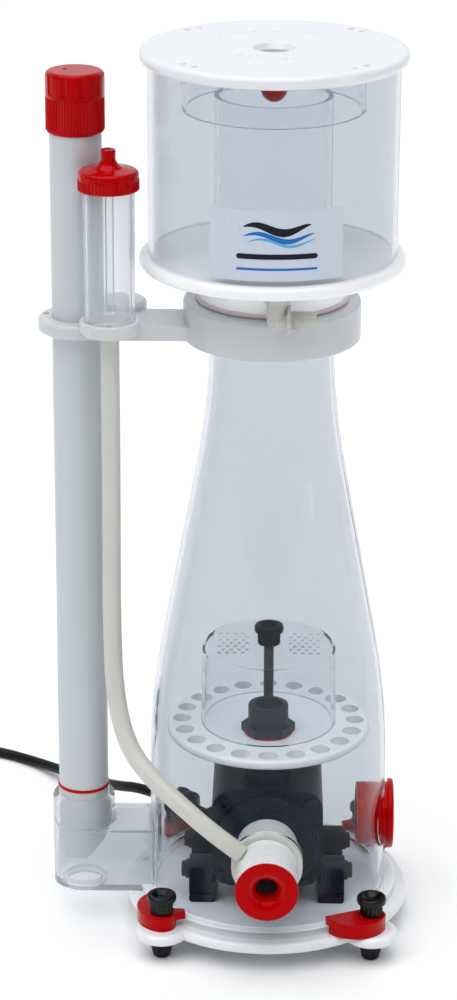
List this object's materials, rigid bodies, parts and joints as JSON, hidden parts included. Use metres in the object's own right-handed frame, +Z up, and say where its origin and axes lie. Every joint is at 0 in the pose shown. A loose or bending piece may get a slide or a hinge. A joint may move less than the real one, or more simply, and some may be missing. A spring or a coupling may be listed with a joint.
{
  "type": "protein skimmer",
  "caption": "Needle-wheel protein skimmer: clear conical vessel on a white base, pump inside, outlet standpipe, air silencer and lift-off collection cup with lid.",
  "frame": {"origin": "on the vessel's axis at the underside of the base plate; the floor is 13 mm lower, under the rubber feet", "axes": "+Z up along the vessel, -Y to the front where the pump intake points, -X to the outlet standpipe"},
  "size_m": [0.4379, 0.4883, 0.5783],
  "materials": {
    "white_pvc": "satin",
    "clear_acrylic": "polished clear",
    "frosted_acrylic": "milky translucent",
    "translucent_nylon": "milky",
    "red_plastic": "polished",
    "red_seal": "matt silicone",
    "black_plastic": "moulded",
    "black_rubber": "matt",
    "pump_plastic": "moulded",
    "impeller_plastic": "moulded",
    "magnet": "ground ferrite",
    "ceramic": "ground ceramic",
    "pipe_grey": "satin",
    "silicone": "soft translucent",
    "label": "printed film"
  },
  "bodies": {
    "body": {"base_plate": "white_pvc", "rubber_feet": "black_rubber", "base_seal": "silicone", "vessel": "clear_acrylic", "outlet_box": "clear_acrylic", "neck_bracket": "frosted_acrylic", "silencer_tube": "clear_acrylic", "silencer_barb": "translucent_nylon", "air_hose": "silicone", "air_nipple": "translucent_nylon", "intake_pipe": "pipe_grey", "intake_grommet": "silicone", "bubble_plate": "white_pvc", "diffuser_dome": "clear_acrylic", "outlet_nut": "pump_plastic", "outlet_gasket": "red_seal", "pump_volute": "pump_plastic", "pump_front_cover": "pump_plastic", "pump_motor": "pump_plastic", "pump_stand": "pump_plastic", "pump_lug_bolts": "black_rubber", "pump_cover_screws": "pump_plastic", "shaft_bushes": "ceramic", "pump_lead": "black_rubber", "power_cord": "black_rubber", "power_cord_coil": "black_rubber", "power_plug": "black_rubber", "cord_gland": "black_plastic", "motor_gland": "black_rubber"},
    "cup": {"cup_floor": "white_pvc", "cup_o_rings": "red_seal", "cup_wall": "clear_acrylic", "riser_tube": "clear_acrylic", "cup_label": "label", "drain_union": "translucent_nylon"},
    "lid": {"lid": "white_pvc", "lid_skirt": "clear_acrylic", "vent_plug": "red_plastic"},
    "drain_elbow": {"drain_elbow": "translucent_nylon"},
    "standpipe": {"outlet_pipe": "white_pvc", "pipe_cap_sleeve": "red_plastic", "pipe_cap_knob": "red_plastic", "pipe_seal_ring": "red_seal"},
    "silencer_cap": {"silencer_cap": "red_plastic", "silencer_air_tube": "clear_acrylic"},
    "diffuser_screw": {"diffuser_screw": "black_plastic"},
    "rotor": {"impeller": "impeller_plastic", "rotor_magnet": "magnet", "rotor_shaft": "ceramic"},
    "side_plug": {"side_plug": "red_plastic", "side_plug_seal": "red_seal"},
    "nozzle": {"intake_nozzle": "red_plastic"},
    "clamp_1": {"cam_clamp_1": "red_plastic"},
    "screw_1": {"clamp_screw_1": "black_plastic"},
    "clamp_2": {"cam_clamp_2": "red_plastic"},
    "screw_2": {"clamp_screw_2": "black_plastic"},
    "clamp_3": {"cam_clamp_3": "red_plastic"},
    "screw_3": {"clamp_screw_3": "black_plastic"},
    "clamp_4": {"cam_clamp_4": "red_plastic"},
    "screw_4": {"clamp_screw_4": "black_plastic"}
  },
  "joints": [
    {"name": "cup_lift", "type": "slide", "parent": "body", "child": "cup", "axis": [0, 0, 1], "range_m": [0, 0.045]},
    {"name": "lid_lift", "type": "slide", "parent": "cup", "child": "lid", "axis": [0, 0, 1], "range_m": [0, 0.06]},
    {"name": "drain_swivel", "type": "hinge", "parent": "cup", "child": "drain_elbow", "pos_m": [0.003, -0.063, 0.418], "axis": [0, 0, 1], "range_deg": [-180, 0]},
    {"name": "standpipe_turn", "type": "hinge", "parent": "body", "child": "standpipe", "pos_m": [-0.12, 0, 0.06], "axis": [0, 0, 1], "range_deg": [-180, 180]},
    {"name": "silencer_cap_turn", "type": "hinge", "parent": "body", "child": "silencer_cap", "pos_m": [-0.0988, -0.028, 0.49], "axis": [0, 0, 1], "range_deg": [0, 270]},
    {"name": "diffuser_screw_turn", "type": "hinge", "parent": "body", "child": "diffuser_screw", "pos_m": [0, 0, 0.12], "axis": [0, 0, 1], "range_deg": [0, 720]},
    {"name": "rotor_spin", "type": "hinge", "parent": "body", "child": "rotor", "pos_m": [0, 0, 0.057], "axis": [0, 1, 0], "continuous": true},
    {"name": "side_plug_pull", "type": "slide", "parent": "body", "child": "side_plug", "axis": [1, 0, 0], "range_m": [0, 0.03]},
    {"name": "nozzle_pull", "type": "slide", "parent": "body", "child": "nozzle", "axis": [0, -1, 0], "range_m": [0, 0.02]},
    {"name": "clamp_1_turn", "type": "hinge", "parent": "body", "child": "clamp_1", "pos_m": [-0.067, -0.067, 0.012], "axis": [0, 0, 1], "range_deg": [0, 130]},
    {"name": "screw_1_turn", "type": "hinge", "parent": "body", "child": "screw_1", "pos_m": [-0.067, -0.067, 0.02], "axis": [0, 0, 1], "range_deg": [0, 720]},
    {"name": "clamp_2_turn", "type": "hinge", "parent": "body", "child": "clamp_2", "pos_m": [0.067, -0.067, 0.012], "axis": [0, 0, 1], "range_deg": [0, 130]},
    {"name": "screw_2_turn", "type": "hinge", "parent": "body", "child": "screw_2", "pos_m": [0.067, -0.067, 0.02], "axis": [0, 0, 1], "range_deg": [0, 720]},
    {"name": "clamp_3_turn", "type": "hinge", "parent": "body", "child": "clamp_3", "pos_m": [0.067, 0.067, 0.012], "axis": [0, 0, 1], "range_deg": [0, 130]},
    {"name": "screw_3_turn", "type": "hinge", "parent": "body", "child": "screw_3", "pos_m": [0.067, 0.067, 0.02], "axis": [0, 0, 1], "range_deg": [0, 720]},
    {"name": "clamp_4_turn", "type": "hinge", "parent": "body", "child": "clamp_4", "pos_m": [-0.067, 0.067, 0.012], "axis": [0, 0, 1], "range_deg": [0, 130]},
    {"name": "screw_4_turn", "type": "hinge", "parent": "body", "child": "screw_4", "pos_m": [-0.067, 0.067, 0.02], "axis": [0, 0, 1], "range_deg": [0, 720]}
  ]
}
